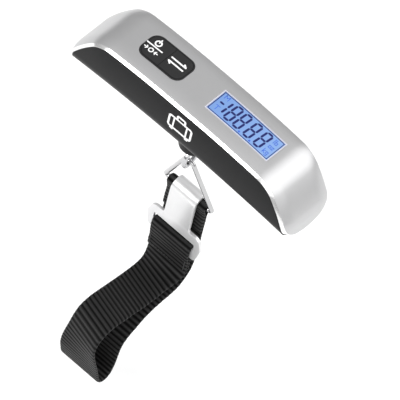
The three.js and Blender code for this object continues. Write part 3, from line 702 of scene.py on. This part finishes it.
def legends():
    """Plain function marks: a power sign over a bar and a zero sign, and two arrows for the change of unit."""
    lift = 0.22
    x = KEY_CENTRE - 9.4
    tiles = [ring_shape(x, 3.5, 2.2, 1.35, lift)]
    tiles += strokes([[(x, 4.1), (x, 6.4)], [(x - 5.3, 0.4), (x + 5.3, 0.4)]], 0.8, lift)
    tiles.append(ring_shape(x, -2.7, 1.6, 0.95, lift))
    tiles += strokes([[(x - 4.6, -2.7), (x - 2.5, -2.7)], [(x - 3.3, -1.7), (x - 2.4, -2.7), (x - 3.3, -3.7)],
                      [(x + 4.6, -2.7), (x + 2.5, -2.7)], [(x + 3.3, -1.7), (x + 2.4, -2.7), (x + 3.3, -3.7)]],
                     0.62, lift)
    finish_piece(join("power_legend", tiles), "power_key", "key_plastic", PRINT, replaces=False)
    x, y = KEY_CENTRE + 6.6, 0.8
    arrows = []
    for side in (-1, 1):
        level, tip, tail = y + 1.35 * side, x + 5.0 * side, x - 5.0 * side
        arrows += [[(tail, level), (tip, level)],
                   [(tip - 1.7 * side, level + 1.25 * side), (tip, level)]]
    unit = join("unit_legend", strokes(arrows, 0.95, lift))
    finish_piece(unit, "unit_key", "key_plastic", PRINT, replaces=False)


def side_sign():
    """A plain suitcase outline printed on the near side face."""
    middle, wide, high, line = 11.6, 8.6, 5.0, 1.3
    top, foot = middle + high, middle - high

    def tile(x0, x1, z0, z1, radius, out=0.06, deep=0.1):
        return prism("tile", rounded_rect(x0, x1, z0, z1, radius), 1, -HALF_WIDTH - out, -HALF_WIDTH + deep)

    def rim(half, tall, radius, centre):
        inner = tile(line - half, half - line, centre - tall + line, centre + tall - line,
                     max(radius - line, 0.3), 1, 1)
        return boolean(tile(-half, half, centre - tall, centre + tall, radius), [inner])

    grip = boolean(rim(3.4, 2.2, 1.6, top + 0.9), [tile(-9, 9, middle - 6, top - 0.1, 0.1, 1, 1)])
    tiles = [rim(wide, high, 1.9, middle), grip]
    for x in (-4.6, 4.6):
        tiles.append(tile(x - 0.5, x + 0.5, foot + line - 0.1, top - line + 0.1, 0.2))
    for x in (-5.4, 5.4):
        tiles.append(tile(x - 1.2, x + 1.2, foot - 1.1, foot + 0.2, 0.4))
    finish_piece(join("side_sign", tiles), "base_housing", "black_housing", PRINT, replaces=False)


def lcd_lens():
    lens = layer("display", 0.25, 1.7, LENS_LOW[0] - 2, LENS_HIGH[0] + 2)
    boolean(lens, [block(LENS_LOW[0], LENS_HIGH[0], LENS_LOW[1], LENS_HIGH[1], 10, FAR)], "INTERSECT")
    soften(lens, 0.08)
    return finish_piece(lens, "lcd_lens", "display_window", DISPLAY)


SEGMENT_LIFT = -0.23  # just proud of the lens


def segment_outlines(x, y, width, height, stroke):
    """The seven bars of a digit as six-sided outlines, from its lower left corner."""
    gap = 0.16
    half = stroke / 2

    def bar(x0, y0, x1, y1):
        if abs(y1 - y0) < abs(x1 - x0):
            a, b = x0 + gap, x1 - gap
            return [(a, y0), (a + half, y0 - half), (b - half, y0 - half), (b, y0), (b - half, y0 + half),
                    (a + half, y0 + half)]
        a, b = y0 + gap, y1 - gap
        return [(x0, a), (x0 + half, a + half), (x0 + half, b - half), (x0, b), (x0 - half, b - half),
                (x0 - half, a + half)]

    left, right = x + half, x + width - half
    low, middle, high = y + half, y + height / 2, y + height - half
    return {"a": bar(left, high, right, high), "b": bar(right, middle, right, high),
            "c": bar(right, low, right, middle), "d": bar(left, low, right, low), "e": bar(left, low, left, middle),
            "f": bar(left, middle, left, high), "g": bar(left, middle, right, middle)}


def lean(outline, base, slant=0.075):
    return [(x + (y - base) * slant, y) for x, y in outline]


def display_marks():
    """All segments lit, as such a display shows when it starts: a minus, a one, four eights and two points."""
    width, height, stroke, base = 5.3, 12.6, 1.3, -6.1
    line = 0.42
    start = LENS_LOW[0]
    dark, faint = [], []
    dark.append(flat_shape(capsule((start + 2.9, 0.6), (start + 4.6, 0.6), 1.2), SEGMENT_LIFT))
    one = segment_outlines(start + 3.3, base + 0.9, width - 0.6, height - 1.6, stroke)
    dark += [flat_shape(lean(one[k], base), SEGMENT_LIFT) for k in "bc"]
    for offset in (9.3, 15.9, 23.6, 31.2):
        bars = segment_outlines(start + offset, base, width, height, stroke)
        dark += [flat_shape(lean(outline, base), SEGMENT_LIFT) for outline in bars.values()]
    for offset in (22.2, 29.85):
        x = start + offset
        point = [(x - 0.55, base - 0.5), (x + 0.55, base - 0.5), (x + 0.55, base + 0.7), (x - 0.55, base + 0.7)]
        faint.append(flat_shape(point, SEGMENT_LIFT))
    right = start + 38.6
    marks = [
        [(start + 2.2, 3.8), (start + 2.2, 6.4), (start + 3.5, 4.9), (start + 4.8, 6.4), (start + 4.8, 3.8)],
        [(start + 2.4, -2.2), (start + 4.9, -2.2)], [(start + 3.65, -2.2), (start + 3.65, -5.2)],
        [(right + 0.5, 2.9), (right + 0.5, 6.2)], [(right + 1.4, 4.6), (right + 2.7, 4.6), (right + 2.7, 3.0),
                                                   (right + 1.4, 3.0), (right + 1.4, 6.2)],
        [(right + 0.4, -0.9), (right + 1.6, -0.9), (right + 1.6, 0.7), (right + 0.4, 0.7), (right + 0.4, -0.9)],
        [(right + 2.2, 0.7), (right + 3.5, 0.7), (right + 2.2, -0.9), (right + 3.5, -0.9)],
        [(right + 0.1, -5.6), (right + 0.1, -2.6)], [(right + 1.4, -3.6), (right + 0.2, -4.5), (right + 1.4, -5.6)],
        [(right + 3.3, -3.6), (right + 2.1, -3.6), (right + 2.1, -5.2), (right + 3.3, -5.2)],
        [(right + 3.3, -3.6), (right + 3.3, -6.2), (right + 2.1, -6.2)],
    ]
    faint += strokes(marks, line, SEGMENT_LIFT)
    for name, tiles, ink in (("display_digits", dark, SEGMENT), ("display_icons", faint, SEGMENT_FAINT)):
        finish_piece(join(name, tiles), "lcd_lens", "display_window", ink, replaces=False)
    inset = 0.15
    x0, x1, y0, y1 = LENS_LOW[0] + inset, LENS_HIGH[0] - inset, LENS_LOW[1] + inset, LENS_HIGH[1] - inset
    cuts = np.linspace(x0, x1, 24)
    tiles = []
    for y in (y0, y1 - line):
        for a, b in zip(cuts[:-1], cuts[1:]):
            tiles.append(flat_shape([(a, y), (b, y), (b, y + line), (a, y + line)], SEGMENT_LIFT))
    for x in (x0, x1 - line):
        tiles.append(flat_shape([(x, y0 + line), (x + line, y0 + line), (x + line, y1 - line), (x, y1 - line)],
                                SEGMENT_LIFT))
    finish_piece(join("display_border", tiles), "lcd_lens", "display_window", SEGMENT, replaces=False)


# ---- eye and ring ----
PIVOT, BAR = (np.array(next(j for j in frame["joints"] if j["name"] == name)["pos_m"]) / MM + [0, 0, TOP]
              for name in ("ring_swing", "strap_swing"))
EYE_HOLE, EYE_WALL, EYE_TOP = 3.2, 2.8, -28.9


def stadium(half, z0, z1, steps=20):
    outline = []
    for centre, start in ((z1 - half, 0), (z0 + half, math.pi)):
        for k in range(steps + 1):
            a = start + math.pi * k / steps
            outline.append((half * math.cos(a), centre + half * math.sin(a)))
    return outline


def load_eye():
    """The flat eye with its collar and the shaft that turns in the load cell."""
    bottom = PIVOT[2] - WIRE - 0.1
    eye = prism("eye", stadium(EYE_HOLE + EYE_WALL, bottom - EYE_WALL, EYE_TOP + EYE_WALL), 0, -1.2, 1.2)
    boolean(eye, [prism("hole", stadium(EYE_HOLE, bottom, EYE_TOP), 0, -5, 5)])
    soften(eye, 0.7, angle=50, segments=3, smooth=50)
    collar = lathe("collar", [(2.6, -26.6), (3.5, -26.6), (3.9, -26.3), (4.4, -25.5), (4.4, -22.7), (3.9, -21.9),
                              (3.5, -21.6), (2.6, -21.6)])
    shaft = lathe("shaft", [(2.45, EYE_TOP + 1), (2.5, EYE_TOP + 1.05), (2.5, 8.4), (2.3, 8.6)])
    boolean(eye, [collar, shaft], "UNION")
    shade(eye, 40)
    return finish_piece(eye, "load_eye", "steel", EYE_STEEL)


def swept_wire(name, outline, radius, to_space, sides=20):
    """A round wire along a closed plane outline, mapped into space."""
    points = []
    for i, here in enumerate(outline):
        before, after = Vector(outline[i - 1]), Vector(outline[(i + 1) % len(outline)])
        along = (after - before).normalized()
        normal = Vector((-along.y, along.x))
        for k in range(sides):
            a = 2 * math.pi * k / sides
            flat = Vector(here) + normal * (radius * math.cos(a))
            points.append(to_space(flat.x, flat.y, radius * math.sin(a)))
    return face_out(make(name, points, tube_faces(len(outline), sides, closed=True)))


def wire_ring():
    lean_angle = math.atan2(BAR[1] - PIVOT[1], PIVOT[2] - BAR[2])
    height = math.hypot(BAR[1] - PIVOT[1], PIVOT[2] - BAR[2])
    top, base = 2.75, 17.6
    outline = fillet([(-top, 0, 2.2), (top, 0, 2.2), (base, height, 1.8), (-base, height, 1.8)], steps=12)

    def to_space(x, down, out):
        return (PIVOT[0] + x, PIVOT[1] + down * math.sin(lean_angle) + out * math.cos(lean_angle),
                PIVOT[2] - down * math.cos(lean_angle) + out * math.sin(lean_angle))

    ring = swept_wire("ring", outline, WIRE, to_space)
    shade(ring, 60)
    return finish_piece(ring, "wire_ring", "ring_steel", WIRE_STEEL)


# ---- hook plate ----
PLATE_Y, PLATE_THICK, PLATE_NECK = 4.0, 1.8, 9.0
PLATE_TOP, PLATE_EAR, PLATE_FOOT, PLATE_BOTTOM = -96.2, 19.4, 17.4, -114.9
SLOT_TOP, SLOT_BOTTOM = -102.6, -107.4
LIP_DOWN = 4.0


def hook_outline():
    """The plate unrolled flat: X, and the distance up along the plate."""
    curl = math.pi * (BAR[1] - PLATE_Y)
    end = BAR[2] + curl + LIP_DOWN
    right = [(PLATE_FOOT, PLATE_BOTTOM, 2.4), (PLATE_EAR, PLATE_TOP - 8, 6), (PLATE_EAR - 2.2, PLATE_TOP, 5),
             (PLATE_NECK, PLATE_TOP, 1.3), (PLATE_NECK, end, 1.6)]
    left = [(-x, v, r) for x, v, r in reversed(right)]
    return fillet(right + left, steps=8)


def hook_plate():
    """The slotted plate: cut out flat, curled over the ring's bar, then thickened."""
    bm = bmesh.new()
    slot = rounded_rect(-WEB_HALF - 0.6, WEB_HALF + 0.6, SLOT_BOTTOM, SLOT_TOP, 0.8, 4)
    edges = []
    for outline in (hook_outline(), slot):
        loop = [bm.verts.new((x, 0, v)) for x, v in outline]
        edges += [bm.edges.new((loop[i - 1], loop[i])) for i in range(len(loop))]
    bmesh.ops.triangle_fill(bm, edges=edges, use_beauty=True)
    radius = BAR[1] - PLATE_Y
    steps = 28
    for k in range(steps + 1):
        level = BAR[2] + math.pi * radius * k / steps
        bmesh.ops.bisect_plane(bm, geom=bm.verts[:] + bm.edges[:] + bm.faces[:], plane_co=(0, 0, level),
                               plane_no=(0, 0, 1))
    for vert in bm.verts:
        x, _, v = vert.co
        over = v - BAR[2]
        if over <= 0:
            y, z = PLATE_Y, v
        elif over <= math.pi * radius:
            y = BAR[1] - radius * math.cos(over / radius)
            z = BAR[2] + radius * math.sin(over / radius)
        else:
            y, z = BAR[1] + radius, BAR[2] - (over - math.pi * radius)
        vert.co = row((x, y, z))
    bmesh.ops.recalc_face_normals(bm, faces=bm.faces)
    mesh = bpy.data.meshes.new("hook")
    bm.to_mesh(mesh)
    bm.free()
    plate = add_object("hook", mesh)
    thick = plate.modifiers.new("thick", "SOLIDIFY")
    thick.thickness = PLATE_THICK * MM
    thick.offset = 0
    bake(plate)
    face_out(plate)
    soften(plate, 0.45, angle=60, segments=3, smooth=50)
    return finish_piece(plate, "hook_plate", "hook_steel", CHROME)


# ---- webbing ----
ROW_STEP = 0.2
HOOK_END = -129.4
LOOP_FOOT = (-52.7, -180.4)  # where the front and back runs meet, at the bottom of the loop
FRONT = [(-55.2, -178), (-57.2, -172.1), (-59.6, -162.6), (-61.2, -148.5), (-60, -141.2), (-56.3, -136.2),
         (-48.6, -134), (-35.4, -135.6), (-20.6, -137.8), (-11, -138.3), (-3.1, -137), (1.6, -134.6),
         (3.9, -131.6)]
FOLD = [(4.8, -127.4), (4.9, -120.9), (5.9, -114.9), (5.95, -108.5), (5.3, -106.5), (4.0, -105.9), (2.7, -106.5),
        (2.05, -108.5), (2.1, -114.9), (3.0, -120.9), (2.9, -125.4), (2.7, HOOK_END + 0.3)]
BACK = [(-49.2, -180.6), (-46.2, -178.2), (-44.3, -172.9), (-43.1, -165.7), (-42, -158.6), (-39.1, -153.1),
        (-33, -148.8), (-27, -145), (-20.5, -142.6), (-13.9, -141.4), (-6.9, -140.8), (0.5, -138.8), (6.5, -132.4),
        (9.2, -122.4), (9.6, -110.4), (9.4, -97.4), (9.35, -87.4), (9.35, -80.4)]
TAIL = [(7.65, -80.4), (7.65, -87.4), (7.7, -95.4)]


def smooth_path(points):
    """A centripetal Catmull-Rom curve through points in Y and Z, sampled at an even step."""
    p = np.array(points, float)
    p = np.vstack([2 * p[0] - p[1], p, 2 * p[-1] - p[-2]])

    def blend(a, b, ta, tb, t):
        return (tb - t) / (tb - ta) * a + (t - ta) / (tb - ta) * b

    dense = []
    for i in range(1, len(p) - 2):
        knots = [0.0]
        for a, b in ((i - 1, i), (i, i + 1), (i + 1, i + 2)):
            knots.append(knots[-1] + math.sqrt(np.linalg.norm(p[b] - p[a])))
        t0, t1, t2, t3 = knots
        for t in np.linspace(t1, t2, 40, endpoint=False):
            a = blend(p[i - 1], p[i], t0, t1, t)
            b = blend(p[i], p[i + 1], t1, t2, t)
            c = blend(p[i + 1], p[i + 2], t2, t3, t)
            dense.append(blend(blend(a, b, t0, t2, t), blend(b, c, t1, t3, t), t1, t2, t))
    dense.append(p[-2])
    dense = np.array(dense)
    reach = np.concatenate([[0], np.cumsum(np.linalg.norm(np.diff(dense, axis=0), axis=1))])
    marks = np.linspace(0, reach[-1], int(reach[-1] / ROW_STEP) + 1)
    return np.stack([np.interp(marks, reach, dense[:, k]) for k in range(2)], axis=1), marks


SKEWED = Vector((0.905, -0.359, 0.228))  # the direction of the loop's width where it twists most


def ease(value):
    value = min(max(value, 0), 1)
    return (3 - 2 * value) * value * value


def twist_at(y, z):
    """How much the loop's width is turned at a point of its path: most along the forward run."""
    return ease((z + 170) / 30) * ease((-121 - y - z) / 26)


def webbing(name, points, right_twist):
    """A ribbed strap along a path. Its left half follows the loop's twist, and its right half a share of it."""
    path, reach = smooth_path(points)
    tangent = np.gradient(path, axis=0)
    tangent /= np.linalg.norm(tangent, axis=1)[:, None]
    columns = np.array([-1, -0.992, -0.97, -0.93, -0.86, -0.72, -0.5, -0.25, 0, 0.25, 0.5, 0.72, 0.86, 0.93, 0.97,
                        0.992, 1])
    edge = (1 - np.abs(columns) ** 22) ** 0.5
    wobble = random.Random(len(name))
    drift = [wobble.uniform(-0.05, 0.05) for _ in range(int(reach[-1] / RIB_PITCH) + 3)]
    grid, weave = [], []
    for i, (y, z) in enumerate(path):
        place = reach[i] / RIB_PITCH
        rib = 1 - abs(2 * (place % 1) - 1) ** 2.5
        half_thick = WEB_THICK / 2 * (0.76 + 0.24 * rib)
        half_width = WEB_HALF - 0.09 * (1 - rib) + drift[int(place)] * rib
        ty, tz = tangent[i]
        along = Vector((0, ty, tz))
        twist = twist_at(y, z)
        left = Vector((1, 0, 0)).lerp(SKEWED, twist).normalized()
        right = Vector((1, 0, 0)).lerp(SKEWED, twist * right_twist).normalized()
        out = along.cross(left + right).normalized()
        centre = Vector((0, y, z))
        middle = [centre + (left if u < 0 else right) * (half_width * u) for u in columns]
        ring = [point + out * (half_thick * e) for point, e in zip(middle, edge)]
        ring += [point - out * (half_thick * e) for point, e in zip(middle[-2:0:-1], edge[-2:0:-1])]
        grid.append(ring)
        spots = [u * WEB_HALF for u in columns] + [u * WEB_HALF for u in columns[-2:0:-1]]
        weave.append([(s, reach[i]) for s in spots])
    strap = make(name, [p for ring in grid for p in ring], tube_faces(len(grid), len(grid[0])))
    layer_uv = strap.data.uv_layers.new(name="weave")
    flat = [spot for ring in weave for spot in ring]
    for loop in strap.data.loops:
        layer_uv.data[loop.index].uv = flat[loop.vertex_index]
    face_out(strap)
    shade(strap, 60)
    return strap


def wrap_points():
    """The turn of the webbing over the ring's bar, from its back to its front."""
    radius = WIRE + 0.25 + WEB_THICK / 2
    angles = [-20, 15, 50, 90, 130, 165, 200]
    return [(BAR[1] + radius * math.cos(math.radians(a)), BAR[2] + radius * math.sin(math.radians(a)))
            for a in angles]


def stitch_row(start, end, at, count):
    """Short raised stitches in a row; at(place) gives a point, the row's direction and the face's normal."""
    length, radius, rings, sides = 1.5, 0.26, 7, 8
    tiles = []
    for stitch in range(count):
        centre, along, out = at(start + (end - start) * (stitch + 0.5) / count)
        side = along.cross(out)
        points = []
        for i in range(rings):
            t = -1 + 2 * i / (rings - 1)
            swell = radius * math.sqrt(max(1 - t * t * 0.92, 0.02))
            for j in range(sides):
                a = 2 * math.pi * j / sides
                points.append(centre + along * (t * length / 2) + (out * math.sin(a) + side * math.cos(a)) * swell)
        tiles.append(make("stitch", points, tube_faces(rings, sides)))
    return tiles


def seam(name, face_y, levels, out, node):
    """A sewn box: rows across the strap at several heights, and a line down each side."""
    tiles = []
    margin = WEB_HALF - 1.6
    normal = Vector((0, out, 0))
    for z in levels:
        tiles += stitch_row(-margin, margin, lambda x, z=z: (Vector((x, face_y, z)), Vector((1, 0, 0)), normal), 12)
    for x in (-margin, margin):
        tiles += stitch_row(min(levels), max(levels),
                            lambda z, x=x: (Vector((x, face_y, z)), Vector((0, 0, 1)), normal), 8)
    made = join(name, tiles)
    face_out(made)
    shade(made, 60)
    return finish_piece(made, node, "webbing", THREAD, replaces=False)


def strap():
    """The loop's back run with its sewn end, and the front run along the loop and through the hook; the front run is
    not attached to either body.
    """
    back = webbing("strap_back", [LOOP_FOOT] + BACK + wrap_points() + TAIL, 0)
    finish_piece(back, "strap_loop", "webbing", NYLON)
    front = webbing("strap_front", [LOOP_FOOT] + FRONT + FOLD, 1)
    dress(front, NYLON)
    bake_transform(front)
    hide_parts("strap_hook_end")
    seam("hook_stitching", 2.95 - WEB_THICK / 2 - 0.02, (-119.2, -127.3), -1, "strap_hook_end")
    seam("ring_stitching_back", 9.4 + WEB_THICK / 2 + 0.02, (-81.4, -93.4), 1, "strap_loop")


# ---- carried-over CAD nodes ----
def dress_nodes():
    """Every node that stays gets its own procedural material, and a small round on its edges."""
    slots = {entry["node"]: entry["material_slot"] for entry in frame["record"]["subparts"]}
    for name, obj in frame["nodes"].items():
        if obj.hide_render:
            continue
        dress(obj, LIP if name == "lcd_frame" else INNER[slots[name]])
        add_bevel(obj, 0.08, angle=40, segments=1)


# ---- studio ----
def floor():
    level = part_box("strap_loop")[0].z - 0.02  # clear of the strap when it swings
    half = 1.6
    mesh = bpy.data.meshes.new("floor")
    mesh.from_pydata([(-half, -half, level), (half, -half, level), (half, half, level), (-half, half, level)], [],
                     [(0, 1, 2, 3)])
    obj = add_object("floor", mesh)
    dress(obj, material("floor_paper", (0.9, 0.9, 0.9), 0.85, grain=0.04, scale=60, bump=0.02, mottle=0.01))


def world():
    """A soft white studio: paler overhead, with a broad glow to the right that lights the shell's bend."""
    made = bpy.data.worlds.new("studio")
    bpy.context.scene.world = made
    made.use_nodes = True
    tree = made.node_tree
    place = shader(tree, "TexCoord", {}).outputs["Generated"]
    split = shader(tree, "SeparateXYZ", {"Vector": place})
    shift = shader(tree, "MapRange", {"From Min": -1, "Value": split.outputs["Z"]})
    ramp = shader(tree, "ValToRGB", {"Fac": shift.outputs["Result"]})
    stops = [(0.0, 0.45), (0.5, 0.36), (0.58, 0.42), (0.72, 0.52), (1.0, 0.58)]
    elements = ramp.color_ramp.elements
    while len(elements) < len(stops):
        elements.new(0.5)
    for element, (position, value) in zip(elements, stops):
        element.position = position
        element.color = (value, value, value, 1)
    squeeze = Vector((1, 0.2, 1))  # the glow is a band, long in Y
    glow_centre = (Vector((0.55, 0.52, 0.68)) * squeeze).normalized()
    flat = shader(tree, "VectorMath", {0: place, 1: squeeze}, operation="MULTIPLY")
    unit = shader(tree, "VectorMath", {0: flat.outputs["Vector"]}, operation="NORMALIZE")
    near = shader(tree, "VectorMath", {0: unit.outputs["Vector"], 1: glow_centre}, operation="DOT_PRODUCT")
    glow = shader(tree, "MapRange", {"From Min": 0.66, "From Max": 0.985, "To Max": 1.75,
                                     "Value": near.outputs["Value"]}, interpolation_type="SMOOTHSTEP")
    total = shader(tree, "Math", {0: ramp.outputs["Color"], 1: glow.outputs["Result"]})
    tree.links.new(total.outputs["Value"], tree.nodes["Background"].inputs["Color"])


def area(name, position, target, size, power):
    light = bpy.data.lights.new(name, "AREA")
    light.shape = "RECTANGLE"
    light.size, light.size_y = size
    light.energy = power
    obj = add_object(name, light)
    obj.location = position
    obj.rotation_euler = (Vector(target) - Vector(position)).to_track_quat("-Z", "Y").to_euler()


def camera():
    right = Vector((0.724, 0.671, 0.157)).normalized()
    back = Vector((0.303, -0.515, 0.802)).normalized()
    up = back.cross(right).normalized()
    right = up.cross(back).normalized()
    data = bpy.data.cameras.new("camera")
    data.lens = 1200
    frame_width = 0.214
    distance = frame_width * data.lens / data.sensor_width
    target = Vector((0, 0, -TOP * MM)) - up * 0.042
    obj = add_object("camera", data)
    turn = Matrix((right, up, back)).transposed().to_4x4()
    obj.matrix_world = Matrix.Translation(target + back * distance) @ turn
    bpy.context.scene.camera = obj


def studio():
    floor()
    world()
    area("key", (-0.5, -0.9, 0.75), (0, 0, -0.08), (0.7, 0.7), 9)
    camera()
    bpy.context.scene.view_settings.view_transform = "Standard"


# ---- build ----
top_shell()
base_housing()
battery_door()
neck_collar()
keypad_bezel()
key("power_key", -1)
key("unit_key", 1)
legends()
side_sign()
lcd_lens()
display_marks()
load_eye()
wire_ring()
hook_plate()
strap()
dress_nodes()
studio()
